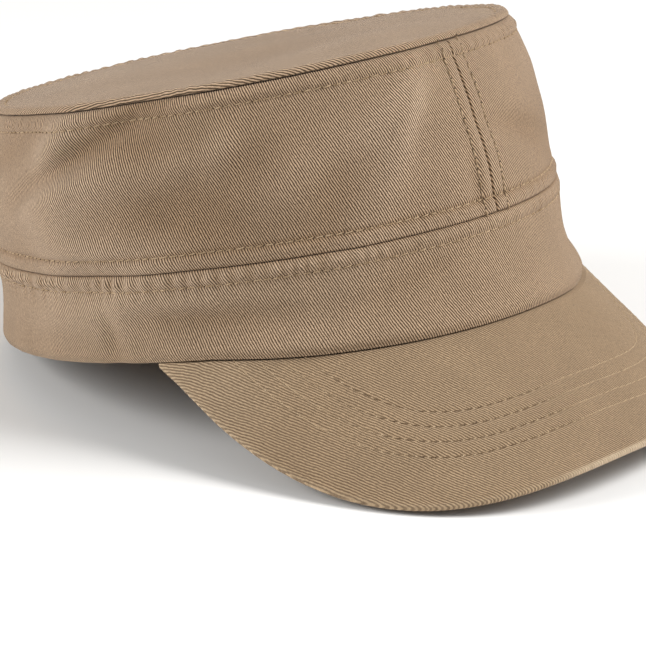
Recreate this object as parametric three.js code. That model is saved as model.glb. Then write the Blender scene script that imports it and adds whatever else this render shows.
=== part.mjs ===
// Field cap of washed cotton twill: a low crown of an oval top and two side panels, a wide band,
// and an arched, curved-down peak. It lies on a table as it does by itself, on its back rim and
// the two drooping sides of its peak.
// Millimetres, +Z up, the cap faces -Y and the wearer's left is +X. Every piece is shaped in the
// cap's own frame, whose XY plane is the band's level lower edge, and then laid on the table.

import * as THREE from 'three';
import { mergeVertices } from 'three/addons/utils/BufferGeometryUtils.js';

// Head oval at the band seam, to the outside of the cloth
const OVAL_HALF_LENGTH = 98.5;
const OVAL_HALF_WIDTH = 87.5;

// Band
const BAND_HEIGHT = 27;
const BAND_WALL = 2;
const BAND_DIP = 4.5;
const BAND_DIP_RIGHT = { angle: 60, power: 2 };
const BAND_DIP_LEFT = { angle: 75, power: 3 };
const BAND_SAG = { angle: -38, reach: 24, depth: 2 };

// Crown
const CROWN_WALL = 1.5;
const TOP_HEIGHT = 76;
const TOP_HEIGHT_SLOPE = 4;
const TOP_DOME = 4;
const FRONT_SEAM_ANGLE = -1.44;

// Peak
const PEAK_THICKNESS = 2.6;
const PEAK_CORNER_THICKNESS = 1;
const PEAK_CORNER_ANGLE = 71.3;
const PEAK_CORNER_TUCK = 0.9;
const PEAK_SLOPE = 42;
const PEAK_ARCH_RADIUS = 91.5;
const PEAK_TIP_FORWARD = 143.5;
const PEAK_SIDE_PULL = { across: 84.9, forward: 86.2 };
const PEAK_TIP_PULL = 73;
const PEAK_LEDGE = 2;
const PEAK_GAP = 0.5;

// Resting on the table, and the gap that sewn neighbours keep
const RIM_GIVE = 1.2;
const GAP = 0.3;

// Steps round the oval and across the peak
const BAND_STEPS = 92;
const PANEL_STEPS = 44;
const TOP_STEPS = 60;
const PEAK_STEPS = 40;
const PEAK_ROWS = 8;

// How far the band's outside stands off the head oval, at a height given as a share of the band's
const BAND_PROFILE = [
  { share: 0.0, front: 2.9, side: 2.6, back: 1.6 },
  { share: 0.06, front: 2.8, side: 2.5, back: 1.6 },
  { share: 0.18, front: 1.7, side: 1.8, back: 1.2 },
  { share: 0.34, front: 0.4, side: 0.9, back: 0.7 },
  { share: 0.5, front: -0.3, side: 0.2, back: 0.3 },
  { share: 0.68, front: -0.5, side: -0.5, back: -0.2 },
  { share: 0.84, front: -0.2, side: -0.2, back: -0.1 },
  { share: 0.95, front: 0.2, side: 0.2, back: 0.1 },
  { share: 1.0, front: -0.2, side: -0.2, back: -0.2 },
];

// The same for the crown's side panels, from the band seam up to the top seam
const CROWN_PROFILE = [
  { share: 0.0, front: -0.2, side: -0.2, back: -0.2 },
  { share: 0.04, front: 0.2, side: 0.2, back: 0.2 },
  { share: 0.12, front: -0.4, side: -0.2, back: -0.4 },
  { share: 0.24, front: -0.6, side: 0.4, back: -0.6 },
  { share: 0.4, front: -1.8, side: 0.2, back: -1.4 },
  { share: 0.56, front: -3.6, side: -0.8, back: -2.6 },
  { share: 0.72, front: -5.6, side: -2.4, back: -4.4 },
  { share: 0.88, front: -8.0, side: -4.8, back: -6.8 },
  { share: 1.0, front: -10.4, side: -7.2, back: -9.2 },
];

// Soft folds and dents of the side wall: angle round from the centre front to the wearer's right,
// height over the band's lower edge, push outwards, half length, half width and rise to the front
const WALL_FOLDS = [
  { angle: 91, height: 43, push: 1.6, length: 32, width: 11.5, rise: 81 },
  { angle: 89, height: 68, push: 2.5, length: 12, width: 5.8, rise: 47 },
  { angle: 85, height: 52, push: 2.4, length: 39, width: 7.3, rise: 12 },
  { angle: 84, height: 63, push: -3.0, length: 36, width: 4.1, rise: 25 },
  { angle: 82, height: 34, push: 2.4, length: 5, width: 14.9, rise: 87 },
  { angle: 80, height: 8, push: -1.1, length: 3, width: 10.0, rise: 8 },
  { angle: 75, height: 16, push: 2.5, length: 40, width: 5.7, rise: 2 },
  { angle: 73, height: 24, push: 1.8, length: 21, width: 7.5, rise: 41 },
  { angle: 70, height: 66, push: -2.5, length: 11, width: 11.4, rise: -15 },
  { angle: 65, height: 13, push: -2.2, length: 26, width: 3.7, rise: -4 },
  { angle: 61, height: 42, push: -2.3, length: 26, width: 8.0, rise: -16 },
  { angle: 60, height: 58, push: 1.0, length: 21, width: 4.6, rise: 21 },
  { angle: 58, height: 61, push: -1.5, length: 23, width: 9.8, rise: 32 },
  { angle: 53, height: 60, push: 1.6, length: 9, width: 5.1, rise: 69 },
  { angle: 52, height: 1, push: 0.6, length: 38, width: 3.4, rise: -5 },
  { angle: 51, height: 53, push: -1.3, length: 24, width: 8.2, rise: 37 },
  { angle: 36, height: 54, push: 0.7, length: 24, width: 5.2, rise: 41 },
  { angle: 36, height: 23, push: 2.0, length: 22, width: 12.1, rise: 55 },
  { angle: 35, height: 36, push: -2.0, length: 22, width: 8.3, rise: 65 },
  { angle: 31, height: 2, push: 0.4, length: 30, width: 4.2, rise: -5 },
  { angle: 20, height: 62, push: 2.4, length: 18, width: 5.6, rise: 27 },
  { angle: 20, height: 14, push: -0.8, length: 17, width: 3.3, rise: 13 },
  { angle: 17, height: 59, push: 2.2, length: 21, width: 5.3, rise: 61 },
  { angle: 3, height: 37, push: -0.8, length: 2.6, width: 9.0, rise: 0 },
  { angle: -19, height: 48, push: -1.9, length: 23, width: 5.1, rise: -17 },
  { angle: -38, height: 40, push: -2.2, length: 30, width: 20.0, rise: 0 },
  { angle: -47, height: 8, push: -2.2, length: 20, width: 9, rise: 0 },
  { angle: -62, height: 13, push: -1.8, length: 26, width: 4.0, rise: 3 },
  { angle: -60, height: 2, push: 0.6, length: 26, width: 4.0, rise: 4 },
  { angle: -84, height: 52, push: 2.2, length: 36, width: 7.0, rise: -12 },
  { angle: -86, height: 64, push: -2.0, length: 30, width: 5.0, rise: -24 },
  { angle: -60, height: 42, push: -1.6, length: 24, width: 8.0, rise: 14 },
  { angle: -100, height: 12, push: -1.2, length: 24, width: 4.0, rise: -4 },
  { angle: -125, height: 56, push: -1.8, length: 24, width: 9.0, rise: 12 },
  { angle: -148, height: 44, push: 1.6, length: 24, width: 8.0, rise: 14 },
  { angle: 122, height: 46, push: 2.0, length: 30, width: 8.0, rise: 14 },
  { angle: 112, height: 61, push: -1.8, length: 24, width: 6.0, rise: 20 },
  { angle: 140, height: 50, push: -1.6, length: 26, width: 9.0, rise: -18 },
  { angle: 150, height: 13, push: -1.4, length: 26, width: 4.0, rise: 0 },
  { angle: 172, height: 60, push: 1.2, length: 12, width: 12.0, rise: 0 },
  { angle: -165, height: 12, push: -1.0, length: 18, width: 5.0, rise: 0 },
];

// Soft hollows and swells of the top, by place over the head oval and half size each way
const TOP_FOLDS = [
  { across: -24, forward: 26, push: -2.2, length: 38, width: 24 },
  { across: 34, forward: -20, push: -1.8, length: 34, width: 26 },
  { across: 4, forward: 58, push: 1.0, length: 40, width: 12 },
  { across: -40, forward: -34, push: 1.0, length: 22, width: 22 },
];

const radians = THREE.MathUtils.degToRad;
const bell = (distance, reach) => Math.exp(-((distance / reach) ** 2));

// A smooth reading of a profile table: offsets at front, side and back for any share of the height
function profileReader(rows) {
  const shares = rows.map((row) => row.share);
  const offsets = rows.flatMap((row) => [row.front, row.side, row.back]);
  const curve = new THREE.CubicInterpolant(shares, offsets, 3);
  return (share, angle) => {
    const [front, side, back] = curve.evaluate(share);
    const forward = Math.cos(radians(angle));
    const end = forward > 0 ? front : back;
    return side + (end - side) * forward * forward;
  };
}
const bandOffset = profileReader(BAND_PROFILE);
const crownOffset = profileReader(CROWN_PROFILE);

// Push of the folds on the side wall at an angle and height
function foldPush(angle, height) {
  let push = 0;
  for (const fold of WALL_FOLDS) {
    const turn = ((angle - fold.angle + 540) % 360) - 180;
    const round = -radians(turn) * OVAL_HALF_WIDTH;
    const up = height - fold.height;
    const rise = radians(fold.rise);
    const lengthways = round * Math.cos(rise) + up * Math.sin(rise);
    const sideways = up * Math.cos(rise) - round * Math.sin(rise);
    push += fold.push * bell(lengthways, fold.length) * bell(sideways, fold.width);
  }
  return push;
}

// A point at an angle round the head oval, moved out square to the oval
function ovalPoint(angle, offset, height) {
  const sine = Math.sin(radians(angle));
  const cosine = Math.cos(radians(angle));
  const out = new THREE.Vector2(-sine / OVAL_HALF_WIDTH, -cosine / OVAL_HALF_LENGTH).normalize();
  return new THREE.Vector3(
    -OVAL_HALF_WIDTH * sine + out.x * offset,
    -OVAL_HALF_LENGTH * cosine + out.y * offset,
    height,
  );
}

// Lower edge of the band: level at the back and sides, dipping over the peak, a little more on
// the wearer's left, where the cloth sags
function bandEdgeHeight(angle) {
  const turn = ((angle + 540) % 360) - 180;
  const dip = turn > 0 ? BAND_DIP_RIGHT : BAND_DIP_LEFT;
  const sag = BAND_SAG.depth * bell(turn - BAND_SAG.angle, BAND_SAG.reach);
  return -BAND_DIP * Math.max(0, 1 - (Math.abs(turn) / dip.angle) ** dip.power) - sag;
}

const topSeamHeight = (angle) => TOP_HEIGHT + TOP_HEIGHT_SLOPE * Math.cos(radians(angle));

// Joins a row of equal loops of points into one closed skin, as a ring or with flat ends
function loftLoops(loops, isRing) {
  const count = loops[0].length;
  const positions = loops.flat().flatMap((point) => point.toArray());
  const index = [];
  const spans = isRing ? loops.length : loops.length - 1;
  for (let span = 0; span < spans; span += 1) {
    const here = span * count;
    const next = ((span + 1) % loops.length) * count;
    for (let k = 0; k < count; k += 1) {
      const after = (k + 1) % count;
      index.push(here + k, next + k, next + after);
      index.push(here + k, next + after, here + after);
    }
  }
  if (!isRing) {
    const last = (loops.length - 1) * count;
    for (let k = 0; k < count / 2 - 1; k += 1) {
      const across = count - 1 - k;
      index.push(k, k + 1, across - 1, k, across - 1, across);
      index.push(last + k, last + across - 1, last + k + 1, last + k, last + across, last + across - 1);
    }
  }
  return closedGeometry(positions, index);
}

// One geometry with shared points merged, slivers dropped and its faces turned outwards
function closedGeometry(positions, index) {
  const raw = new THREE.BufferGeometry();
  raw.setAttribute('position', new THREE.Float32BufferAttribute(positions, 3));
  raw.setIndex(index);
  const geometry = mergeVertices(raw, 1e-4);
  const corners = Array.from(geometry.index.array);
  const kept = [];
  for (let k = 0; k < corners.length; k += 3) {
    const [a, b, c] = corners.slice(k, k + 3);
    if (a !== b && b !== c && c !== a) kept.push(a, b, c);
  }
  geometry.setIndex(signedVolume(geometry, kept) > 0 ? kept : kept.reverse());
  geometry.computeVertexNormals();
  return geometry;
}

function signedVolume(geometry, corners) {
  const points = [0, 1, 2].map(() => new THREE.Vector3());
  const position = geometry.getAttribute('position');
  let volume = 0;
  for (let k = 0; k < corners.length; k += 3) {
    points.forEach((point, n) => point.fromBufferAttribute(position, corners[k + n]));
    volume += points[0].dot(points[1].cross(points[2])) / 6;
  }
  return volume;
}

// Section of a wall: up its outside and down its inside, with one inner point for each outer one
function wallSection(angle, shares, low, high, offsetAt, wall) {
  const outer = shares.map((share) => {
    const height = low + (high - low) * share;
    const offset = offsetAt(share, angle) + foldPush(angle, height);
    return { offset, height };
  });
  const inner = outer.map(({ offset, height }) => ({ offset: offset - wall, height })).reverse();
  return [...outer, ...inner].map(({ offset, height }) => ovalPoint(angle, offset, height));
}

function bandGeometry() {
  const shares = [0, 0.08, 0.2, 0.36, 0.55, 0.75, 0.92, 1];
  const loops = [];
  for (let step = 0; step < BAND_STEPS; step += 1) {
    const angle = (360 * step) / BAND_STEPS;
    const low = bandEdgeHeight(angle);
    loops.push(wallSection(angle, shares, low, BAND_HEIGHT - GAP / 2, bandOffset, BAND_WALL));
  }
  return loftLoops(loops, true);
}

// One side panel of the crown, between the centre front seam and the centre back seam
function sidePanelGeometry(sign) {
  const shares = [0, 0.05, 0.14, 0.28, 0.42, 0.56, 0.7, 0.84, 0.94, 1];
  const seamAngle = THREE.MathUtils.radToDeg(GAP / 2 / OVAL_HALF_WIDTH);
  const start = FRONT_SEAM_ANGLE + sign * seamAngle;
  const end = sign * (180 - seamAngle);
  const loops = [];
  for (let step = 0; step <= PANEL_STEPS; step += 1) {
    const angle = THREE.MathUtils.lerp(start, end, step / PANEL_STEPS);
    const low = BAND_HEIGHT + GAP / 2;
    const high = topSeamHeight(angle) - GAP / 2;
    loops.push(wallSection(angle, shares, low, high, crownOffset, CROWN_WALL));
  }
  return loftLoops(loops, false);
}

// Height of the top over the plane of its seam, at a place over the head oval
function topRise(place, share) {
  const inward = 1 - share * share;
  let rise = TOP_DOME * inward;
  for (const fold of TOP_FOLDS) {
    const across = bell(place.x - fold.across, fold.length);
    const along = bell(-place.y - fold.forward, fold.width);
    rise += fold.push * inward * across * along;
  }
  return rise;
}

// The oval top: a domed sheet whose rounded rim stands on the side panels
function topGeometry() {
  const shares = [0.14, 0.4, 0.62, 0.8, 0.92, 0.985];
  const ring = (share, sink) =>
    Array.from({ length: TOP_STEPS }, (_, step) => {
      const angle = (360 * step) / TOP_STEPS;
      const seam = topSeamHeight(angle);
      const rim = ovalPoint(angle, crownOffset(1, angle) + foldPush(angle, seam), 0);
      const place = rim.multiplyScalar(share);
      const plane = TOP_HEIGHT + (seam - TOP_HEIGHT) * share + GAP / 2;
      return place.setZ(plane + CROWN_WALL + topRise(place, share) - sink);
    });
  const upper = shares.map((share) => ring(share, 0));
  const lower = shares.map((share) => ring(share, CROWN_WALL));
  const rim = [ring(1, CROWN_WALL / 2), ring(1, CROWN_WALL)];
  return closeRings([...upper, ...rim, ...lower.reverse()]);
}

// Closes rows of equal rings, from the middle of one side over the rim to the middle of the other
function closeRings(rows) {
  const count = rows[0].length;
  const positions = rows.flat().flatMap((point) => point.toArray());
  const index = [];
  for (let row = 0; row < rows.length - 1; row += 1) {
    for (let k = 0; k < count; k += 1) {
      const after = (k + 1) % count;
      const here = row * count;
      index.push(here + k, here + count + k, here + count + after);
      index.push(here + k, here + count + after, here + after);
    }
  }
  for (const row of [0, rows.length - 1]) {
    const middle = positions.length / 3;
    const centre = new THREE.Vector3();
    rows[row].forEach((point) => centre.addScaledVector(point, 1 / count));
    positions.push(...centre.toArray());
    for (let k = 0; k < count; k += 1) {
      const corners = [row * count + k, row * count + ((k + 1) % count), middle];
      index.push(...(row === 0 ? corners : corners.reverse()));
    }
  }
  return closedGeometry(positions, index);
}

// Upper surface of the peak over any place in front of the head oval
function peakHeight(across, forward) {
  const root = OVAL_HALF_LENGTH + BAND_PROFILE[0].front;
  const arch = PEAK_ARCH_RADIUS - Math.sqrt(PEAK_ARCH_RADIUS ** 2 - across ** 2);
  return -BAND_DIP - Math.tan(radians(PEAK_SLOPE)) * (forward - root) - arch;
}

// How far a place on the peak's root is towards its corner, where the peak thins out
const nearCorner = (angle) => THREE.MathUtils.smoothstep(Math.abs(angle), 55, PEAK_CORNER_ANGLE);

// Where the peak meets the band, along its lower edge, moved inwards under it
function peakRoot(angle, inwards) {
  const offset = bandOffset(0, angle) - PEAK_CORNER_TUCK * nearCorner(angle) - inwards;
  return ovalPoint(angle, offset, bandEdgeHeight(angle) - PEAK_GAP);
}

// Outer edge of the peak in plan: one curve from each corner to the tip
function peakEdgeCurve() {
  const corner = peakRoot(PEAK_CORNER_ANGLE, 0);
  return new THREE.CubicBezierCurve(
    new THREE.Vector2(0, PEAK_TIP_FORWARD),
    new THREE.Vector2(PEAK_TIP_PULL, PEAK_TIP_FORWARD),
    new THREE.Vector2(PEAK_SIDE_PULL.across, PEAK_SIDE_PULL.forward),
    new THREE.Vector2(Math.abs(corner.x), Math.abs(corner.y)),
  );
}

// One strip of the peak from its ledge under the band to its outer edge, upper side out, under side back
function peakSection(share, edgeCurve) {
  const angle = share * PEAK_CORNER_ANGLE;
  const root = peakRoot(angle, 0);
  const ledge = peakRoot(angle, PEAK_LEDGE);
  const edge = edgeCurve.getPoint(Math.abs(share));
  const target = new THREE.Vector2(-Math.sign(share) * edge.x, -edge.y);
  const lift = root.z - peakHeight(root.x, -root.y);
  const settled = THREE.MathUtils.smoothstep(Math.abs(share), 0.85, 1);
  const upper = [ledge];
  for (let row = 0; row <= PEAK_ROWS; row += 1) {
    const part = row / PEAK_ROWS;
    const x = THREE.MathUtils.lerp(root.x, target.x, part);
    const y = THREE.MathUtils.lerp(root.y, target.y, part);
    upper.push(new THREE.Vector3(x, y, peakHeight(x, -y) + lift * (1 - part * (1 - settled))));
  }
  const thickness = THREE.MathUtils.lerp(PEAK_THICKNESS, PEAK_CORNER_THICKNESS, nearCorner(angle));
  const down = new THREE.Vector3(0, 0, -thickness);
  const under = upper.map((point) => point.clone().add(down)).reverse();
  return [...upper, ...under];
}

function peakGeometry() {
  const edgeCurve = peakEdgeCurve();
  const loops = [];
  for (let step = 0; step <= PEAK_STEPS; step += 1) {
    const share = -Math.cos((Math.PI * step) / PEAK_STEPS);
    loops.push(peakSection(share, edgeCurve));
  }
  return loftLoops(loops, false);
}

// The angle that the cap tips back by, so that its back rim and the sides of its peak both touch
function restingPitch(peak, rim) {
  const position = peak.getAttribute('position');
  let pitch = 0;
  for (let k = 0; k < position.count; k += 1) {
    const drop = rim.z - position.getZ(k);
    pitch = Math.max(pitch, Math.atan2(drop, rim.y - position.getY(k)));
  }
  return pitch;
}

// Lets the soft rim flatten where it would go below the table, whose level plane is given
function restOn(table, geometry) {
  const position = geometry.getAttribute('position');
  const point = new THREE.Vector3();
  for (let k = 0; k < position.count; k += 1) {
    point.fromBufferAttribute(position, k);
    const height = table.distanceToPoint(point);
    if (height < 0) point.addScaledVector(table.normal, -height);
    position.setXYZ(k, point.x, point.y, point.z);
  }
  geometry.computeVertexNormals();
}

const twill = () => new THREE.MeshStandardMaterial({ color: 0xa08569, roughness: 0.92, metalness: 0 });

const geometries = {
  crown_top: topGeometry(),
  crown_side_right: sidePanelGeometry(1),
  crown_side_left: sidePanelGeometry(-1),
  band: bandGeometry(),
  peak: peakGeometry(),
};

const backRim = ovalPoint(180, bandOffset(0, 180), RIM_GIVE);
const pitch = restingPitch(geometries.peak, backRim);
const tableUp = new THREE.Vector3(0, -Math.sin(pitch), Math.cos(pitch));
const table = new THREE.Plane().setFromNormalAndCoplanarPoint(tableUp, backRim);
restOn(table, geometries.band);

const cap = new THREE.Group();
cap.name = 'field_cap';
cap.rotation.x = -pitch;
for (const [name, geometry] of Object.entries(geometries)) {
  const piece = new THREE.Mesh(geometry, twill());
  piece.name = name;
  cap.add(piece);
}

// The origin is on the table, under the middle of the cap as it lies
const outline = new THREE.Box3().setFromObject(cap, true);
const centre = outline.getCenter(new THREE.Vector3());
cap.position.set(-centre.x, -centre.y, -outline.min.z);

export default cap;
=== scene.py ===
import math

import bmesh
import bpy
import numpy as np
from mathutils import Matrix, Vector


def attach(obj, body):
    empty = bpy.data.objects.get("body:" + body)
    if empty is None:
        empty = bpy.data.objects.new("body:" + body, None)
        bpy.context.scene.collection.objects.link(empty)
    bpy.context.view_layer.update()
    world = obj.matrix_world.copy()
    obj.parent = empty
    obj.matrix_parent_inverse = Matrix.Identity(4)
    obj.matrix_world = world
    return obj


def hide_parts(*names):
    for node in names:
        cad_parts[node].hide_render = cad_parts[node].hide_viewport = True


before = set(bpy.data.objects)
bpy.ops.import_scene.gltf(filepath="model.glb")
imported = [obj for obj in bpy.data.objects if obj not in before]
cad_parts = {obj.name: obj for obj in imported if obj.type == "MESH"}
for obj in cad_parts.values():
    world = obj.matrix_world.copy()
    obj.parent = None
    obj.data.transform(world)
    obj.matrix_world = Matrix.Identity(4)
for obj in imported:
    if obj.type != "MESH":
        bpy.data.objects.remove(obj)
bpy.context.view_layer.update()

# Table and studio: a plain pale table top, lit by soft white boxes at the picture's left and right
# and by a weak white surround. The camera looks at the cap's front right, a little down, from
# about a metre away through a long lens.
CAMERA_AZIMUTH = -44.11
CAMERA_ELEVATION = 20.60
CAMERA_ROLL = -0.55
CAMERA_DISTANCE = 0.998
CAMERA_LENS = 171.0
LOOK_AT = (0.0040, 0.0098, 0.0119)
BOX_DISTANCE = 1.6
BOX_SIZE = 0.8
WORLD_LIGHT = 0.35
TABLE_SIZE = 9.0
TABLE_DROP = 2e-4


def srgb(hex_colour):
    """A hex sRGB colour as linear red, green, blue and alpha."""
    parts = [int(hex_colour[k:k + 2], 16) / 255 for k in (1, 3, 5)]
    return [p / 12.92 if p <= 0.04045 else ((p + 0.055) / 1.055) ** 2.4 for p in parts] + [1.0]


def add(tree, kind, inputs=None, **settings):
    """One node with its settings, its sockets set to values or linked to other sockets."""
    node = tree.nodes.new(kind)
    for name, value in settings.items():
        setattr(node, name, value)
    for key, value in (inputs or {}).items():
        socket = node.inputs[key]
        if isinstance(value, bpy.types.NodeSocket):
            tree.links.new(value, socket)
        else:
            socket.default_value = value
    return node


def sight_line(azimuth, elevation):
    """Unit vector from the cap towards a viewer at an azimuth and elevation in degrees."""
    a, e = math.radians(azimuth), math.radians(elevation)
    return Vector((math.sin(a) * math.cos(e), -math.cos(a) * math.cos(e), math.sin(e)))


def soft_box(name, azimuth, elevation, power):
    """A square soft light that faces the cap from an azimuth and elevation in degrees."""
    lamp = bpy.data.lights.new(name, "AREA")
    lamp.shape = "SQUARE"
    lamp.size = BOX_SIZE
    lamp.energy = power
    box = bpy.data.objects.new(name, lamp)
    towards = sight_line(azimuth, elevation)
    turn = towards.to_track_quat("Z", "Y").to_matrix().to_4x4()
    box.matrix_world = Matrix.Translation(towards * BOX_DISTANCE) @ turn
    bpy.context.collection.objects.link(box)


soft_box("left_box", -130, 25, 19.0)
soft_box("right_box", 45, 50, 19.0)
soft_box("low_box", 30, 35, 7.0)

world = bpy.data.worlds.new("white_studio")
world.use_nodes = True
white = world.node_tree.nodes["Background"]
white.inputs["Color"].default_value = srgb("#FFFFFF")
white.inputs["Strength"].default_value = WORLD_LIGHT
bpy.context.scene.world = world
bpy.context.scene.view_settings.view_transform = "Standard"

table_paint = bpy.data.materials.new("matt white table paint")
table_paint.use_nodes = True
paint = table_paint.node_tree.nodes["Principled BSDF"]
paint.inputs["Base Color"].default_value = srgb("#F4F3F1")
paint.inputs["Roughness"].default_value = 0.9
half = TABLE_SIZE / 2
outline = ((-half, -half), (half, -half), (half, half), (-half, half))
table_mesh = bpy.data.meshes.new("table")
table_mesh.from_pydata([(x, y, -TABLE_DROP) for x, y in outline], [], [(0, 1, 2, 3)])
table_mesh.materials.append(table_paint)
table = bpy.data.objects.new("table", table_mesh)
bpy.context.collection.objects.link(table)

lens = bpy.data.cameras.new("camera")
lens.lens = CAMERA_LENS
lens.sensor_width = 36.0
lens.clip_start = 0.05
camera = bpy.data.objects.new("camera", lens)
towards = sight_line(CAMERA_AZIMUTH, CAMERA_ELEVATION)
roll = Matrix.Rotation(math.radians(CAMERA_ROLL), 3, "Z")
turn = (towards.to_track_quat("Z", "Y").to_matrix() @ roll).to_4x4()
camera.matrix_world = Matrix.Translation(Vector(LOOK_AT) + towards * CAMERA_DISTANCE) @ turn
bpy.context.collection.objects.link(camera)
bpy.context.scene.camera = camera

# Band: two layers of washed cotton twill, folded at the lower edge and sewn into a ring round the
# head oval, with a seam at the centre back. All cloth is shaped in millimetres in the cap's own
# frame, whose XY plane is the band's level lower edge, and is then laid on the table.
HALF_LENGTH = 98.5
HALF_WIDTH = 87.5
REST_PITCH = 12.613
CAP_ORIGIN = (0.474, 22.174, 20.687)
BAND_HEIGHT = 27.0
BAND_WALL = 2.0
BAND_DIP = 4.5
BAND_DIP_RIGHT = (60.0, 2)
BAND_DIP_LEFT = (75.0, 3)
BAND_SAG = 2.0
BAND_SAG_ANGLE = -38.0
BAND_SAG_REACH = 24.0
BAND_COLUMNS = 860
BAND_ROWS = 60
BAND_INNER_ROWS = 24
HEM_STEPS = 8
HEM_START = 0.9
HEM_ROLL = 4.0
HEM_TUCK = 1.8
TABLE_CLEARANCE = 0.02
LEAST_BAND = 1.2
ROW_OFFSET = 4.9
WALE_PITCH = 0.76
WALE_LEAN = 25.0
RIB_HEIGHT = 0.16
YARN_HEIGHT = 0.35
TWILL_RIDGE = "#C2A587"
# the grooves' colour is partly the cloth's own and partly painted shade between the ribs
TWILL_GROOVE_AND_SHADE = "#54422F"
TWILL_RUBBED = "#CDB89C"
SEAM_ROLL = 0.8
SEAM_CLEARANCE = 0.04
SEAM_DEPTH = 1.1
ALLOWANCE_LIFT = 0.7
ROW_DEPTH = 0.34
BAND_ROW_DEPTH = 0.22
PUCKER = 0.55
PUCKER_SPACING = 5.0
# painted shade in hollows and painted light on swells, by the relief attribute
HOLLOW_PAINTED_SHADE = (0.86, 0.82, 0.76, 1.0)
SWELL_PAINTED_LIGHT = (1.14, 1.18, 1.24, 1.0)
# how strongly the relief attribute paints shade and light on folds, seams, the hem and gathers
FOLD_PAINTED_SHADE_AND_LIGHT = 1.4
SEAM_PAINTED_SHADE = 3.0
HEM_PAINTED_SHADE = 2.2
GATHER_PAINTED_SHADE_AND_LIGHT = 4.5
GATHER_PAINTED_SHADE_AND_LIGHT_BEHIND = 4.0

# noise scale, its detail, and how far it moves the ribs, in mm
RIB_WAVER = ((0.07, 2.0, 0.9), (0.9, 2.0, 0.34), (0.28, 1.0, 0.3))

# between the first two values of a pattern, the cloth goes from the third value to the fourth
YARN_TONE = (0.25, 0.75, 0.74, 1.25)
MOTTLE_TONE = (0.3, 0.7, 0.94, 1.06)
# the relief attribute: painted shade below its middle, painted light above it
PAINTED_SHADE_SHARE = (-3.0, 3.0, 0.0, 1.0)

# share of the band's height, then how far the outside stands off the head oval there, in mm
BAND_PROFILE = {
    "share": (0.0, 0.06, 0.18, 0.34, 0.50, 0.68, 0.84, 1.0),
    "front": (2.9, 2.8, 1.7, 0.4, -0.3, -0.5, -0.3, 0.0),
    "side": (2.6, 2.5, 1.8, 0.9, 0.2, -0.5, -0.3, 0.0),
    "back": (1.6, 1.6, 1.2, 0.7, 0.3, -0.2, -0.1, 0.0),
}

# angle to the wearer's right, height, push, half length, half width, rise to the front
WALL_FOLDS = (
    (91, 43, 1.6, 32, 11.5, 81),
    (89, 68, 2.5, 12, 5.8, 47),
    (85, 52, 2.4, 39, 7.3, 12),
    (84, 63, -3.0, 36, 4.1, 25),
    (82, 34, 2.4, 5, 14.9, 87),
    (80, 8, -1.1, 3, 10.0, 8),
    (75, 16, 2.5, 40, 5.7, 2),
    (73, 24, 1.8, 21, 7.5, 41),
    (70, 66, -2.5, 11, 11.4, -15),
    (65, 13, -2.2, 26, 3.7, -4),
    (61, 42, -2.3, 26, 8.0, -16),
    (60, 58, 1.0, 21, 4.6, 21),
    (58, 61, -1.5, 23, 9.8, 32),
    (53, 60, 1.6, 9, 5.1, 69),
    (52, 1, 0.6, 38, 3.4, -5),
    (51, 53, -1.3, 24, 8.2, 37),
    (36, 54, 0.7, 24, 5.2, 41),
    (36, 23, 2.0, 22, 12.1, 55),
    (35, 36, -2.0, 22, 8.3, 65),
    (31, 2, 0.4, 30, 4.2, -5),
    (20, 62, 2.4, 18, 5.6, 27),
    (20, 14, -0.8, 17, 3.3, 13),
    (17, 59, 2.2, 21, 5.3, 61),
    (3, 37, -0.8, 2.6, 9.0, 0),
    (-19, 48, -1.9, 23, 5.1, -17),
    (-38, 40, -2.2, 30, 20.0, 0),
    (-47, 8, -2.2, 20, 9.0, 0),
    (-62, 13, -1.8, 26, 4.0, 3),
    (-60, 2, 0.6, 26, 4.0, 4),
    (-84, 52, 2.2, 36, 7.0, -12),
    (-86, 64, -2.0, 30, 5.0, -24),
    (-60, 42, -1.6, 24, 8.0, 14),
    (-100, 12, -1.2, 24, 4.0, -4),
    (-125, 56, -1.8, 24, 9.0, 12),
    (-148, 44, 1.6, 24, 8.0, 14),
    (122, 46, 2.0, 30, 8.0, 14),
    (112, 61, -1.8, 24, 6.0, 20),
    (140, 50, -1.6, 26, 9.0, -18),
    (150, 13, -1.4, 26, 4.0, 0),
    (172, 60, 1.2, 12, 12.0, 0),
    (-165, 12, -1.0, 18, 5.0, 0),
)


def bell(distance, reach):
    """1 at no distance, falling off softly on both sides."""
    return np.exp(-((distance / reach) ** 2))


def ease(t):
    """0 before 0 and 1 after 1, with a soft rise between."""
    t = np.clip(t, 0, 1)
    return t * t * (3 - 2 * t)


def read_curve(at, knots, values):
    """A smooth curve through a short table, read at any places."""
    knots, values = np.asarray(knots, float), np.asarray(values, float)
    slope = np.gradient(values, knots)
    k = np.clip(np.searchsorted(knots, at) - 1, 0, len(knots) - 2)
    span = knots[k + 1] - knots[k]
    t = np.clip((at - knots[k]) / span, 0, 1)
    return (
        values[k] * (1 + 2 * t) * (1 - t) ** 2 + values[k + 1] * t * t * (3 - 2 * t)
        + span * (slope[k] * t * (1 - t) ** 2 - slope[k + 1] * t * t * (1 - t))
    )


def crowded(count, amount):
    """Steps from 0 to 1 that crowd together towards both ends."""
    t = np.linspace(0, 1, count)
    return t - amount * np.sin(2 * math.pi * t) / (2 * math.pi)


def read_profile(profile, share, angle):
    """How far a wall stands off the head oval, between its front, side and back profiles."""
    forward = np.cos(np.radians(angle))
    parts = ("front", "side", "back")
    front, side, back = (read_curve(share, profile["share"], profile[k]) for k in parts)
    return side + (np.where(forward > 0, front, back) - side) * forward ** 2


def wrap(angle):
    """An angle in degrees, brought between -180 and 180."""
    return (angle + 540) % 360 - 180


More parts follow.
